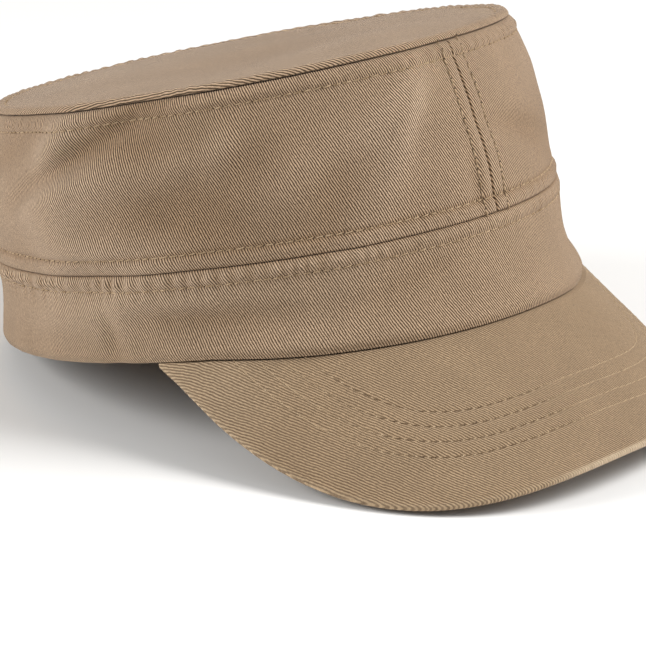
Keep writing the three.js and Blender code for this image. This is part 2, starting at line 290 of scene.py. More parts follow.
def fold_push(angle, height):
    """How far the soft folds push a wall out or in."""
    push = 0
    for fold_angle, fold_height, out, length, width, rise in WALL_FOLDS:
        along = -np.radians(wrap(angle - fold_angle)) * HALF_WIDTH
        up = height - fold_height
        c, s = math.cos(math.radians(rise)), math.sin(math.radians(rise))
        push = push + out * bell(along * c + up * s, length) * bell(up * c - along * s, width)
    return push


def soft_noise(u, v, cell_u, cell_v, seed, around=None):
    """Smooth noise from -1 to 1 on cells of the given size, closed round if it has to be."""
    count = max(1, round(around / cell_u)) if around else 512
    cell = around / count if around else cell_u
    grid = np.random.default_rng(seed).uniform(-1, 1, (count, 256))
    a, b = u / cell, v / cell_v
    i, j = np.floor(a).astype(int), np.floor(b).astype(int)
    s, t = ease(a - i), ease(b - j)

    def across_row(j):
        return grid[i % count, j % 256] * (1 - s) + grid[(i + 1) % count, j % 256] * s

    return across_row(j) * (1 - t) + across_row(j + 1) * t


def oval_point(angle, offset, height):
    """Points round the head oval, moved out square to it."""
    s, c = np.sin(np.radians(angle)), np.cos(np.radians(angle))
    nx, ny = -s / HALF_WIDTH, -c / HALF_LENGTH
    size = np.hypot(nx, ny)
    x = -HALF_WIDTH * s + offset * nx / size
    y = -HALF_LENGTH * c + offset * ny / size
    return np.stack([x, y, height + 0 * s], -1)


def way_along(places, pace):
    """Distance walked up to each of a row of places, at a pace given for each."""
    return np.concatenate([[0], np.cumsum((pace[1:] + pace[:-1]) / 2 * np.diff(places))])


round_steps = np.radians(np.linspace(-180, 180, 3601))
round_pace = np.hypot(HALF_WIDTH * np.cos(round_steps), HALF_LENGTH * np.sin(round_steps))
way_round = way_along(round_steps, round_pace)
PERIMETER = way_round[-1]


def oval_distance(angle):
    """Way round the head oval from the centre back to an angle."""
    return np.interp(angle, np.degrees(round_steps), way_round)


def oval_angle(distance):
    """The reverse: the angle at a distance round the head oval."""
    return np.interp(distance, way_round, np.degrees(round_steps))


def seam_relief(distance, lift=ALLOWANCE_LIFT, row_depth=ROW_DEPTH):
    """How cloth stands beside a seam: rolled in, swelling over the allowance, and sewn down."""
    near = np.clip(distance / SEAM_ROLL, 0, 1)
    rolled = -SEAM_DEPTH * (1 - np.sqrt(1 - (1 - near) ** 2))
    return rolled + lift * bell(distance - 2.8, 1.8) - row_depth * bell(distance - ROW_OFFSET, 0.75)


def puckers(along, distance, strength, seed, around=None):
    """Short gathers square to a seam, strongest between it and its stitch row."""
    count = round((around or 400) / PUCKER_SPACING)
    spacing = (around or 400) / count
    drift = soft_noise(along, 0 * along, 11.0, 1, seed, around)
    broad = soft_noise(along, 0 * along, 13.0, 1, seed + 1, around)
    uneven = soft_noise(along, 0 * along, 2.3, 1, seed + 2, around)
    fine = 0.7 * np.sin(2 * math.pi * along / spacing + 3.2 * drift) + 0.5 * uneven
    reach = bell(distance - 2.5, 1.9) + 0.3 * bell(distance - 6.2, 2.6)
    return strength * (fine + 0.3) * (0.85 + 0.35 * broad) * reach


def gathered(angle):
    """How hard the band's seam has drawn up: most at the sides, least in front and behind."""
    turn = wrap(angle)
    right = ease((turn - 14) / 30) * ease((135 - turn) / 20)
    left = ease((-turn - 50) / 20) * ease((turn + 112) / 16)
    return 0.35 + 0.65 * right + 0.3 * left


def lie(points):
    """Cap frame in millimetres to the table's frame in metres, with the rim flat where it lies."""
    a = -math.radians(REST_PITCH)
    x, y, z = points[..., 0], points[..., 1], points[..., 2]
    laid = np.stack([
        x + CAP_ORIGIN[0],
        y * math.cos(a) - z * math.sin(a) + CAP_ORIGIN[1],
        y * math.sin(a) + z * math.cos(a) + CAP_ORIGIN[2],
    ], -1)
    laid[..., 2] = np.maximum(laid[..., 2], TABLE_CLEARANCE)
    return laid * 0.001


def cloth_mesh(name, points, grain, ring, material, around=0.0):
    """A closed cloth wall from rows of equal loops, with its grain as a UV map in millimetres.

    points is loops x places x 3 and grain loops x places x 2. A ring's loops close round, over the
    length of its grain that around gives. Else the first and the last loop are closed flat."""
    loops, places = points.shape[:2]
    grain = np.concatenate([grain, grain[:, :1]], 1)
    grain = np.concatenate([grain, grain[:1] + [around, 0] if ring else grain[-1:]], 0)
    spans = loops if ring else loops - 1
    i, k = np.meshgrid(np.arange(spans), np.arange(places), indexing="ij")
    i, k = i.ravel(), k.ravel()
    i1, k1 = (i + 1) % loops, (k + 1) % places
    faces = np.stack([i * places + k, i1 * places + k, i1 * places + k1, i * places + k1], 1)
    uv = np.stack([grain[i, k], grain[i + 1, k], grain[i + 1, k + 1], grain[i, k + 1]], 1)
    if not ring:
        k = np.arange(places // 2 - 1)
        a = places - 1 - k
        last = (loops - 1) * places
        first_cap = np.stack([k, k + 1, a - 1, a], 1)
        last_cap = np.stack([last + k, last + a, last + a - 1, last + k + 1], 1)
        faces = np.concatenate([faces, first_cap, last_cap])
        flat = grain[:loops, :-1].reshape(-1, 2)
        uv = np.concatenate([uv, flat[first_cap], flat[last_cap]])
    vertices = lie(points).reshape(-1, 3)
    mesh = bpy.data.meshes.new(name)
    mesh.vertices.add(len(vertices))
    mesh.vertices.foreach_set("co", vertices.ravel())
    mesh.loops.add(faces.size)
    mesh.loops.foreach_set("vertex_index", faces.ravel().astype(np.int32))
    mesh.polygons.add(len(faces))
    mesh.polygons.foreach_set("loop_start", np.arange(0, faces.size, 4, dtype=np.int32))
    mesh.polygons.foreach_set("loop_total", np.full(len(faces), 4, np.int32))
    mesh.uv_layers.new(name="grain").data.foreach_set("uv", uv.ravel())
    mesh.update(calc_edges=True)
    mesh.validate()
    turn_outwards(mesh, vertices, faces)
    mesh.polygons.foreach_set("use_smooth", np.ones(len(mesh.polygons), bool))
    mesh.materials.append(material)
    piece = bpy.data.objects.new(name, mesh)
    bpy.context.collection.objects.link(piece)
    return piece


def turn_outwards(mesh, vertices, faces):
    """Flips a closed mesh whose faces point in."""
    a, b, c, d = (vertices[faces[:, k]] for k in range(4))
    volume = (a * (np.cross(b, c) + np.cross(c, d))).sum()
    if volume < 0:
        mesh.flip_normals()


def mark(piece, name, values):
    """A value for each point of a piece, for its material to read."""
    layer = piece.data.attributes.new(name, "FLOAT", "POINT")
    layer.data.foreach_set("value", np.asarray(values, np.float32).ravel())


def washed_twill(name, ridge, groove_and_shade):
    """Washed cotton twill: matt and slightly fuzzy, with fine steep diagonal ribs, 0.76 mm apart as
    in the photo, whose yarns vary in tone. The grooves' colour is partly painted shade between the
    ribs. The relief attribute adds painted shade in hollows and painted light on swells, and the
    cloth is paler where its edges have worn."""
    material = bpy.data.materials.new(name)
    material.use_nodes = True
    tree = material.node_tree
    grain = add(tree, "ShaderNodeUVMap", uv_map="grain").outputs["UV"]
    leaning = {"Vector": grain, "Angle": math.radians(WALE_LEAN)}
    turned = add(tree, "ShaderNodeVectorRotate", leaning, rotation_type="Z_AXIS").outputs["Vector"]
    across = add(tree, "ShaderNodeSeparateXYZ", {"Vector": turned}).outputs["X"]
    for scale, detail, waver in RIB_WAVER:
        spots = {"Vector": grain, "Scale": scale, "Detail": detail}
        drift = add(tree, "ShaderNodeTexNoise", spots).outputs["Fac"]
        moved = {0: drift, 1: waver, 2: across}
        across = add(tree, "ShaderNodeMath", moved, operation="MULTIPLY_ADD").outputs[0]
    turns = {0: across, 1: 2 * math.pi / WALE_PITCH}
    phase = add(tree, "ShaderNodeMath", turns, operation="MULTIPLY").outputs[0]
    wave = add(tree, "ShaderNodeMath", {0: phase}, operation="COSINE").outputs[0]
    ends = {"Value": wave, "From Min": -0.9, "From Max": 0.75}
    rib = add(tree, "ShaderNodeMapRange", ends, interpolation_type="SMOOTHSTEP").outputs["Result"]
    long_way = {"Vector": turned, "Scale": (2.0, 0.95, 1.0)}
    stretched = add(tree, "ShaderNodeMapping", long_way).outputs["Vector"]
    spots = {"Vector": stretched, "Scale": 1.0, "Detail": 3.0, "Roughness": 0.6}
    yarn = add(tree, "ShaderNodeTexNoise", spots).outputs["Fac"]
    spots = {"Vector": grain, "Scale": 0.05, "Detail": 4.0, "Roughness": 0.6}
    mottle = add(tree, "ShaderNodeTexNoise", spots).outputs["Fac"]
    # relief holds painted shade and light: darker in hollows, seams and dips, paler on swells
    relief = add(tree, "ShaderNodeAttribute", attribute_name="relief").outputs["Fac"]
    worn = add(tree, "ShaderNodeAttribute", attribute_name="worn").outputs["Fac"]
    levels = []
    for value, ends in ((yarn, YARN_TONE), (mottle, MOTTLE_TONE), (relief, PAINTED_SHADE_SHARE)):
        limits = dict(zip(("From Min", "From Max", "To Min", "To Max"), ends), Value=value)
        levels.append(add(tree, "ShaderNodeMapRange", limits).outputs["Result"])
    tone = add(tree, "ShaderNodeMath", {0: levels[0], 1: levels[1]}, operation="MULTIPLY").outputs[0]
    painted_shade_tints = {"Factor": levels[2], 6: HOLLOW_PAINTED_SHADE, 7: SWELL_PAINTED_LIGHT}
    painted_shade_tint = add(tree, "ShaderNodeMix", painted_shade_tints, data_type="RGBA").outputs[2]
    shades = {"Factor": rib, 6: srgb(groove_and_shade), 7: srgb(ridge)}
    cloth = add(tree, "ShaderNodeMix", shades, data_type="RGBA").outputs[2]
    # the yarns' and mottle's tone, then the painted shade and light
    for shading in (tone, painted_shade_tint):
        shaded = {0: cloth, 1: shading}
        cloth = add(tree, "ShaderNodeVectorMath", shaded, operation="MULTIPLY").outputs[0]
    rubbed_and_painted_light = add(tree, "ShaderNodeMath", {0: worn, 1: yarn}, operation="MULTIPLY").outputs[0]
    paler = {"Factor": rubbed_and_painted_light, 6: cloth, 7: srgb(TWILL_RUBBED)}
    cloth = add(tree, "ShaderNodeMix", paler, data_type="RGBA").outputs[2]
    raised = {0: yarn, 1: YARN_HEIGHT, 2: rib}
    height = add(tree, "ShaderNodeMath", raised, operation="MULTIPLY_ADD").outputs[0]
    embossed = {"Height": height, "Strength": 1.0, "Distance": RIB_HEIGHT / 1000}
    bumps = add(tree, "ShaderNodeBump", embossed)
    shader = tree.nodes["Principled BSDF"]
    tree.links.new(cloth, shader.inputs["Base Color"])
    tree.links.new(bumps.outputs["Normal"], shader.inputs["Normal"])
    shader.inputs["Roughness"].default_value = 0.92
    shader.inputs["Specular IOR Level"].default_value = 0.2
    shader.inputs["Sheen Weight"].default_value = 0.12
    shader.inputs["Sheen Roughness"].default_value = 0.5
    return material


def band_edge(angle):
    """Lower edge of the band: level at the back and sides, dipping over the peak, a little more on
    the wearer's left, where the cloth sags."""
    turn = wrap(angle)
    dips = (BAND_DIP_RIGHT, BAND_DIP_LEFT)
    right, left = (1 - (np.abs(turn) / reach) ** power for reach, power in dips)
    sag = BAND_SAG * bell(turn - BAND_SAG_ANGLE, BAND_SAG_REACH)
    return -BAND_DIP * np.maximum(0, np.where(turn > 0, right, left)) - sag


def band_base(angle, height):
    """Outside of the band off the head oval, with its soft folds only."""
    low = band_edge(angle)
    share = np.clip((height - low) / (BAND_HEIGHT - low), 0, 1)
    return read_profile(BAND_PROFILE, share, angle) + fold_push(angle, height)


def band_offset(angle, height):
    """Outside of the band off the head oval, with its folds, seams, gathers and rolled hem."""
    along = oval_distance(wrap(angle))
    below_seam = BAND_HEIGHT - height
    above_hem = height - band_edge(angle)
    beside_back = np.minimum(along, PERIMETER - along)
    hem = np.clip(1 - above_hem / HEM_ROLL, 0, 1)
    return (
        band_base(angle, height)
        + seam_relief(below_seam, ALLOWANCE_LIFT * (0.2 + 0.8 * gathered(angle)), BAND_ROW_DEPTH)
        + gathered(angle) * puckers(along, below_seam, PUCKER, 11, PERIMETER)
        + seam_relief(beside_back) * ease(below_seam / 3)
        + 0.22 * soft_noise(along, height, 15, 9, 21, PERIMETER)
        + 0.12 * soft_noise(along, height, 5, 7, 22, PERIMETER)
        - HEM_TUCK * (1 - np.sqrt(1 - hem ** 2))
    )


along = np.linspace(0, PERIMETER, BAND_COLUMNS, endpoint=False)
angle = oval_angle(along)[:, None]
low = band_edge(angle)
reach = BAND_HEIGHT - SEAM_CLEARANCE - low - HEM_START
height = low + HEM_START + reach * crowded(BAND_ROWS, 0.6)
outer = band_offset(angle, height)
inner_height = height[:, np.linspace(BAND_ROWS - 1, 0, BAND_INNER_ROWS).astype(int)]
inner = band_base(angle, inner_height) - BAND_WALL
inner[:, -1:] = np.minimum(inner[:, -1:], outer[:, :1] - LEAST_BAND)
turn_down = np.linspace(0, math.pi, HEM_STEPS + 2)[None, 1:-1]
middle, half_wall = (outer[:, :1] + inner[:, -1:]) / 2, (outer[:, :1] - inner[:, -1:]) / 2
hem = middle + half_wall * -np.cos(turn_down)
hem_height = low + HEM_START - HEM_START * np.sin(turn_down)
offset = np.concatenate([outer, inner, hem], 1)
level = np.concatenate([height, inner_height, hem_height], 1)
below_seam = BAND_HEIGHT - height
gathers = gathered(angle) * puckers(oval_distance(wrap(angle)), below_seam, PUCKER, 11, PERIMETER)
# painted shade and light: dark in hollows, dips, the seam and at the lower edge, pale on swells
relief = (
    FOLD_PAINTED_SHADE_AND_LIGHT * fold_push(angle, height)
    + (GATHER_PAINTED_SHADE_AND_LIGHT + GATHER_PAINTED_SHADE_AND_LIGHT_BEHIND * ease((wrap(angle) - 76) / 10)) * gathers
    + 0.6 * bell(below_seam - 1.5, 0.8)
    - SEAM_PAINTED_SHADE * bell(below_seam, 0.5)
    - HEM_PAINTED_SHADE * bell(height - low - 0.2, 1.5)
)
band_painted_shade_and_light = np.concatenate([relief, 0 * inner, 0 * hem], 1)
band_worn = np.concatenate([0.1 * bell(height - low - 1.2, 0.9), 0 * inner, 0.1 + 0 * hem], 1)
band_points = oval_point(angle + 0 * offset, offset, level)
band_grain = np.stack([along[:, None] + 0 * level, level], -1)
band_cloth = washed_twill("washed cotton twill of the band", TWILL_RIDGE, TWILL_GROOVE_AND_SHADE)
band = cloth_mesh("band_cloth", band_points, band_grain, True, band_cloth, around=PERIMETER)
mark(band, "relief", band_painted_shade_and_light)
mark(band, "worn", band_worn)
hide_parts("band")
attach(band, "root")

# Crown side panels: two pieces of the same twill that meet in a seam at the centre front and one
# at the centre back. They lean in towards the top and fall in soft slanting folds.
TOP_HEIGHT = 76.0
TOP_HEIGHT_SLOPE = 4.0
CROWN_WALL = 1.5
CROWN_PROFILE = {
    "share": (0.0, 0.12, 0.24, 0.40, 0.56, 0.72, 0.88, 1.0),
    "front": (0.0, -0.3, -0.6, -1.8, -3.6, -5.6, -8.0, -10.4),
    "side": (0.0, -0.1, 0.4, 0.2, -0.8, -2.4, -4.8, -7.2),
    "back": (0.0, -0.3, -0.6, -1.4, -2.6, -4.4, -6.8, -9.2),
}
PANEL_COLUMNS = 470
PANEL_ROWS = 74
LEAST_WALL = 0.3
CROWN_PUCKER = 0.3
BAND_SIDE = {"lift": 0.35, "row_depth": 0.5}
BAND_SIDE_PUCKER = 0.14
FRONT_SIDE = {"lift": 0.25, "row_depth": 0.1}
FRONT_PUCKER = 0.06
SIDE_RIDGE = "#C3A688"
# the side panels' grooves are darker, with more painted shade between the ribs
SIDE_GROOVE_AND_SHADE = "#4C3A29"
ROW_PAINTED_SHADE = 3.4
FRONT_SEAM = PERIMETER / 2 - 2.2
BACK_SEAM = 0.0


def top_seam(angle):
    """Height of the seam between the side panels and the top."""
    return TOP_HEIGHT + TOP_HEIGHT_SLOPE * np.cos(np.radians(angle))


def crown_base(angle, height):
    """Outside of a side panel off the head oval, with its soft folds only."""
    share = np.clip((height - BAND_HEIGHT) / (top_seam(angle) - BAND_HEIGHT), 0, 1)
    return read_profile(CROWN_PROFILE, share, angle) + fold_push(angle, height)


def crown_offset(angle, height):
    """Outside of a side panel off the head oval, with its folds, seams and puckers."""
    along = oval_distance(wrap(angle))
    from_band = height - BAND_HEIGHT
    from_top = top_seam(angle) - height
    from_front = np.abs(along - FRONT_SEAM)
    from_back = np.minimum(along, PERIMETER - along)
    inside = ease(from_band / 3) * ease(from_top / 3)
    meeting = ease(from_band / 0.9) * ease(from_top / 0.9)
    return (
        crown_base(angle, height)
        + seam_relief(from_band, **BAND_SIDE)
        + puckers(along, from_band, BAND_SIDE_PUCKER, 31, PERIMETER)
        + seam_relief(from_top)
        + puckers(along, from_top, CROWN_PUCKER, 41, PERIMETER)
        + seam_relief(from_front, **FRONT_SIDE) * meeting
        + puckers(height, from_front, FRONT_PUCKER, 51) * inside
        + seam_relief(from_back) * meeting
        + puckers(height, from_back, CROWN_PUCKER, 61) * inside
        + inside * 0.35 * soft_noise(along, height, 24, 15, 71, PERIMETER)
        + inside * 0.14 * soft_noise(along + 0.5 * height, height, 8, 8, 72, PERIMETER)
    )


for side, node, start, end in (
    ("right", "crown_side_right", FRONT_SEAM, PERIMETER),
    ("left", "crown_side_left", 0.0, FRONT_SEAM),
):
    length = end - start - 2 * SEAM_CLEARANCE
    along = start + SEAM_CLEARANCE + length * crowded(PANEL_COLUMNS, 0.8)
    angle = oval_angle(along)[:, None]
    low = BAND_HEIGHT + SEAM_CLEARANCE
    height = low + (top_seam(angle) - SEAM_CLEARANCE - low) * crowded(PANEL_ROWS, 0.6)
    outer = crown_offset(angle, height)
    inner = np.minimum(crown_base(angle, height) - CROWN_WALL, outer - LEAST_WALL)
    offset = np.concatenate([outer, inner[:, ::-1]], 1)
    level = np.concatenate([height, height[:, ::-1]], 1)
    points = oval_point(angle + 0 * offset, offset, level)
    grain = np.stack([along[:, None] + 0 * level, level], -1)
    cloth = washed_twill("washed cotton twill of the %s side" % side, SIDE_RIDGE, SIDE_GROOVE_AND_SHADE)
    panel = cloth_mesh("crown_side_%s_cloth" % side, points, grain, False, cloth)
    from_band, from_front = height - BAND_HEIGHT, np.abs(along[:, None] - FRONT_SEAM)
    # painted shade and light: dark in hollows, the seams and the row above the band, pale on swells
    relief = (
        FOLD_PAINTED_SHADE_AND_LIGHT * fold_push(angle, height)
        - ROW_PAINTED_SHADE * bell(from_band - ROW_OFFSET, 1.0)
        + 0.6 * bell(from_band - 1.6, 0.8)
        - SEAM_PAINTED_SHADE * bell(from_band, 0.5)
        + 0.9 * bell(from_front - 1.6, 1.0)
        - SEAM_PAINTED_SHADE * bell(from_front, 0.5)
    )
    mark(panel, "relief", np.concatenate([relief, 0 * relief], 1))
    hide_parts(node)
    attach(panel, "root")

# Crown top: one oval of the twill, slightly domed and sagging in two soft hollows. Its rim turns
# over into the seam with the side panels.
TOP_DOME = 4.0
TOP_COLUMNS = 520
TOP_ROWS = 60
TOP_SHRINK = 0.008
RIM_RADIUS = 1.3
MEETING_POINTS = 2e-6
TOP_HOLLOW_PAINTED_SHADE = 1.2
TOP_GATHER_PAINTED_SHADE = 4.0

# across to the wearer's left, forward, push, half length, half width
TOP_FOLDS = (
    (-24, 26, -2.2, 38, 24),
    (34, -20, -1.8, 34, 26),
    (4, 58, 1.0, 40, 12),
    (-40, -34, 1.0, 22, 22),
)


def top_hollows(x, y):
    """How far the top's soft hollows and swells push its cloth down or up at a place."""
    push = 0
    for across, forward, out, length, width in TOP_FOLDS:
        push = push + out * bell(x - across, length) * bell(-y - forward, width)
    return push


def top_surface(angle, share):
    """Upper side of the top at a share of the way from its middle to its rim."""
    seam = top_seam(angle)
    rim = oval_point(angle, crown_base(angle, seam), 0)
    x, y = rim[..., 0] * share, rim[..., 1] * share
    inward = 1 - share * share
    rise = (TOP_DOME + top_hollows(x, y)) * inward
    from_rim = (1 - share) * np.hypot(rim[..., 0], rim[..., 1])
    along = oval_distance(wrap(angle))
    rise = rise + seam_relief(from_rim + SEAM_ROLL)
    rise = rise + puckers(along, from_rim, CROWN_PUCKER, 81, PERIMETER)
    rise = rise + 0.3 * soft_noise(x + 500, y + 500, 22, 22, 91) * ease(from_rim / 6)
    edge = np.clip(1 - from_rim / RIM_RADIUS, 0, 1)
    drop = RIM_RADIUS * (1 - np.sqrt(1 - edge ** 2))
    plane = TOP_HEIGHT + (seam - TOP_HEIGHT) * share + CROWN_WALL
    return np.stack([x, y, plane + rise - drop], -1)


def join_meeting_points(piece):
    """Makes one point of all that meet in one place, as in the middle of the top."""
    shape = bmesh.new()
    shape.from_mesh(piece.data)
    bmesh.ops.remove_doubles(shape, verts=shape.verts, dist=MEETING_POINTS)
    loose = [edge for edge in shape.edges if not edge.link_faces]
    bmesh.ops.delete(shape, geom=loose, context="EDGES")
    shape.to_mesh(piece.data)
    shape.free()


angle = oval_angle(np.linspace(0, PERIMETER, TOP_COLUMNS, endpoint=False))[:, None]
share = np.sin(np.linspace(0, math.pi / 2, TOP_ROWS))[None, :]
upper = top_surface(angle + 0 * share, share + 0 * angle)
lower = upper.copy()
thin = CROWN_WALL * ease((1 - share) * 60)
lower[..., 2] = np.minimum(upper[..., 2] - LEAST_WALL, upper[..., 2] - thin - 0.1)
shrink = 1 - TOP_SHRINK * ease((share - 0.97) / 0.03)
lower[..., :2] *= shrink[..., None]
points = np.concatenate([upper, lower[:, ::-1]], 1)
rim_reach = np.hypot(upper[:, -1:, 0], upper[:, -1:, 1])
over = np.arcsin(np.clip(1 - (1 - share) * rim_reach / RIM_RADIUS, 0, 1))
over = RIM_RADIUS * (over - np.sin(over)) / rim_reach
over = np.concatenate([over, 0 * over], 1)[..., None]
grain = np.stack([-points[..., 0], points[..., 1]], -1) * (1 + over)
top_cloth = washed_twill("washed cotton twill of the top", TWILL_RIDGE, TWILL_GROOVE_AND_SHADE)
top = cloth_mesh("crown_top_cloth", points, grain, True, top_cloth)
hollows = top_hollows(upper[..., 0], upper[..., 1]) * (1 - share ** 2)
gathers = puckers(oval_distance(wrap(angle)), (1 - share) * rim_reach, PUCKER, 81, PERIMETER)
# painted shade and light: dark in the top's hollows and gather dips, pale on its swells
relief = TOP_HOLLOW_PAINTED_SHADE * hollows + TOP_GATHER_PAINTED_SHADE * gathers
mark(top, "relief", np.concatenate([relief, 0 * relief], 1))
join_meeting_points(top)
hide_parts("crown_top")
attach(top, "root")

# Peak: a stiff board in a folded cover of the same twill, arched across and sloping down, sewn
# under the band's front edge and stitched through in four even rows along its outer edge. The
# cover's upper and under sides meet in a fine seam round the outer edge.
PEAK_THICKNESS = 2.6
PEAK_CORNER_ANGLE = 71.3
PEAK_SLOPE = 42.0
PEAK_ARCH_RADIUS = 91.5
PEAK_TIP_FORWARD = 143.5
PEAK_TIP_PULL = 73.0
PEAK_SIDE_PULL = (84.9, 86.2)
PEAK_LEDGE = 3.0
PEAK_LIP = 1.3
PEAK_GAP = 0.35
PEAK_SIDE_GAP = 0.15
PEAK_ROW_MARGIN = 15.7
PEAK_ROW_SPACING = 5.1
PEAK_ROWS_SEWN = 4
PEAK_REACH = 0.995
PEAK_COLUMNS = 330
PEAK_PLACES = 108
PEAK_EDGE_RADIUS = 0.5
PEAK_EDGE_DROP = 0.45
PEAK_UNDER_RADIUS = 3.2
PEAK_EDGE_BEAD = 0.5
PEAK_LEDGE_WALL = 0.6
PEAK_TUCK = 0.9
PEAK_CHANNEL = 0.16
PEAK_THINNING = 0.86
PEAK_RIDGE = "#B09677"
# the peak's grooves are paler, with less painted shade between the ribs
PEAK_GROOVE_AND_SHADE = "#755F48"
CORNER_PAINTED_LIGHT = 2.8
RUB_ROUND = 0.3
RUB_AT_TIP = 1.1
UNDER_SHIFT = (41, 23)
PEAK_ROOT = HALF_LENGTH + BAND_PROFILE["front"][0]


def peak_arch(x):
    """How far the arch has dropped at a distance from the middle."""
    return PEAK_ARCH_RADIUS - np.sqrt(PEAK_ARCH_RADIUS ** 2 - x ** 2)


def peak_height(x, forward):
    """Height of the peak's upper side in plan."""
    return -BAND_DIP - math.tan(math.radians(PEAK_SLOPE)) * (forward - PEAK_ROOT) - peak_arch(x)


def peak_root(angle, inward=0.0):
    """Where the peak meets the band: along its lower edge, and in under it at the two corners."""
    tucked = ease((np.abs(angle) - 62) / 10)
    offset = read_profile(BAND_PROFILE, 0 * angle, angle) - PEAK_TUCK * tucked - inward
    gap = PEAK_GAP + PEAK_SIDE_GAP * ease((np.abs(angle) - 10) / 50) - 0.3 * tucked
    return oval_point(angle, offset, band_edge(angle) - gap)


def peak_edge(share):
    """Outer edge in plan, as x and forward: left corner at -1, tip at 0, right corner at 1."""
    corner = peak_root(np.array(PEAK_CORNER_ANGLE))
    tip, beside_tip = (0, PEAK_TIP_FORWARD), (PEAK_TIP_PULL, PEAK_TIP_FORWARD)
    pulls = (tip, beside_tip, PEAK_SIDE_PULL, (-corner[0], -corner[1]))
    t = np.abs(share)
    weights = ((1 - t) ** 3, 3 * (1 - t) ** 2 * t, 3 * (1 - t) * t * t, t ** 3)
    across = sum(w * p[0] for w, p in zip(weights, pulls))
    forward = sum(w * p[1] for w, p in zip(weights, pulls))
    return -np.sign(share) * across, forward


arch_steps = np.linspace(-PEAK_ARCH_RADIUS * 0.97, PEAK_ARCH_RADIUS * 0.97, 2001)
arch_slope = arch_steps / np.sqrt(PEAK_ARCH_RADIUS ** 2 - arch_steps ** 2)
way_across = way_along(arch_steps, np.hypot(1, arch_slope * math.cos(math.radians(PEAK_SLOPE))))
way_across = way_across - way_across[len(arch_steps) // 2]


def peak_flat(x, forward):
    """The peak's cover laid flat: across to the wearer's left, and forward from the band."""
    rise = math.radians(PEAK_SLOPE)
    onward = (forward - PEAK_ROOT) / math.cos(rise) + peak_arch(x) * math.sin(rise)
    return np.interp(x, arch_steps, way_across), onward


def peak_place(across, onward):
    """The reverse: where a place on the flat cover is, as x and forward."""
    rise = math.radians(PEAK_SLOPE)
    x = np.interp(across, way_across, arch_steps)
    return x, PEAK_ROOT + (onward - peak_arch(x) * math.sin(rise)) * math.cos(rise)


flat_edge = np.stack(peak_flat(*peak_edge(np.linspace(-1, 1, 500))), -1)


def edge_distance(across, onward):
    """Distance on the flat cover from the peak's outer edge, and the way out to it."""
    flat = np.stack([across.ravel(), onward.ravel()], -1)
    nearest, outward = np.full(len(flat), 1e9), np.zeros_like(flat)
    for a, b in zip(flat_edge[:-1], flat_edge[1:]):
        way = b - a
        t = np.clip(((flat - a) @ way) / max(way @ way, 1e-9), 0, 1)
        far = np.hypot(*(flat - a - t[:, None] * way).T)
        closer = far < nearest
        nearest[closer] = far[closer]
        outward[closer] = np.array([way[1], -way[0]]) / np.hypot(*way)
    if outward[np.argmax(flat[:, 1]), 1] <= 0:
        outward = -outward
    return nearest.reshape(across.shape), outward.reshape(across.shape + (2,))


def peak_relief(across, onward, from_edge):
    """Stitch channels, the soft swell between them and the cloth's slight unevenness."""
    relief = 0.16 * soft_noise(across + 300, onward + 300, 17, 12, 101)
    relief = relief + 0.06 * soft_noise(across + 300, onward + 300, 5, 5, 102)
    pulled = 1 - 0.75 * ease((-across - 48) / 22)
    for row in range(PEAK_ROWS_SEWN):
        gap = from_edge - PEAK_ROW_MARGIN - row * PEAK_ROW_SPACING
        relief = relief - PEAK_CHANNEL * pulled * bell(gap, 0.7)
        relief = relief + 0.04 * bell(np.abs(gap) - 1.8, 1.0)
    return relief


def both_sides(value):
    """A value on the peak's upper side, repeated on its under side and 0 on its ledges."""
    blank = 0 * value[:, :2]
    return np.concatenate([blank, value, value[:, ::-1], blank], 1)


share = -PEAK_REACH * np.cos(np.linspace(0, math.pi, PEAK_COLUMNS))[:, None]
angle = share * PEAK_CORNER_ANGLE
root = peak_root(angle)
ledge = peak_root(angle, PEAK_LEDGE)[:, 0]
inner_ledge = peak_root(angle, PEAK_LEDGE + PEAK_LEDGE_WALL)[:, 0]
edge_x, edge_forward = peak_edge(share)
part = np.sin(np.linspace(0, math.pi / 2, PEAK_PLACES))[None, :]
x = root[..., 0] + (edge_x - root[..., 0]) * part
forward = -root[..., 1] + (edge_forward + root[..., 1]) * part
across, onward = peak_flat(x, forward)
from_edge, outward = edge_distance(across, onward)
lift = root[..., 2] - peak_height(root[..., 0], -root[..., 1])
settled = ease((np.abs(share) - 0.85) / 0.15)
lift = lift * (1 - part * (1 - settled))
surface = peak_height(x, forward) + lift
turned = np.arcsin(np.clip(1 - from_edge / PEAK_EDGE_RADIUS, 0, 1))
turned_under = np.arcsin(np.clip(1 - from_edge / PEAK_UNDER_RADIUS, 0, 1))
upright = math.cos(math.radians(PEAK_SLOPE))
rolled = PEAK_EDGE_DROP * (1 - np.cos(turned))
thick = PEAK_THICKNESS * (1 - PEAK_THINNING * ease((np.abs(angle) - 55) / 17))
raised = (thick - PEAK_EDGE_DROP - PEAK_EDGE_BEAD) * (1 - np.cos(turned_under))
raised = np.clip(raised, 0, thick - PEAK_EDGE_DROP - 0.2)
inside = ease(part * 12) * ease(from_edge / 1.5)
relief = peak_relief(across, onward, from_edge) * inside
under_relief = peak_relief(across + UNDER_SHIFT[0], onward + UNDER_SHIFT[1], from_edge) * inside
upper = np.stack([x, -forward, surface - rolled + relief / upright], -1)
under = np.stack([x, -forward, surface - thick + raised - under_relief / upright], -1)
under_ledge = inner_ledge - thick * [0, 0, 1]
lip, inner_lip = ledge + [0, 0, PEAK_LIP], inner_ledge + [0, 0, PEAK_LIP]
above, below = np.stack([lip, ledge], 1), np.stack([under_ledge, inner_lip], 1)
points = np.concatenate([above, upper, under[:, ::-1], below], 1)
round_edge = (PEAK_EDGE_RADIUS + PEAK_EDGE_DROP) / 2 * turned - PEAK_EDGE_RADIUS * np.sin(turned)
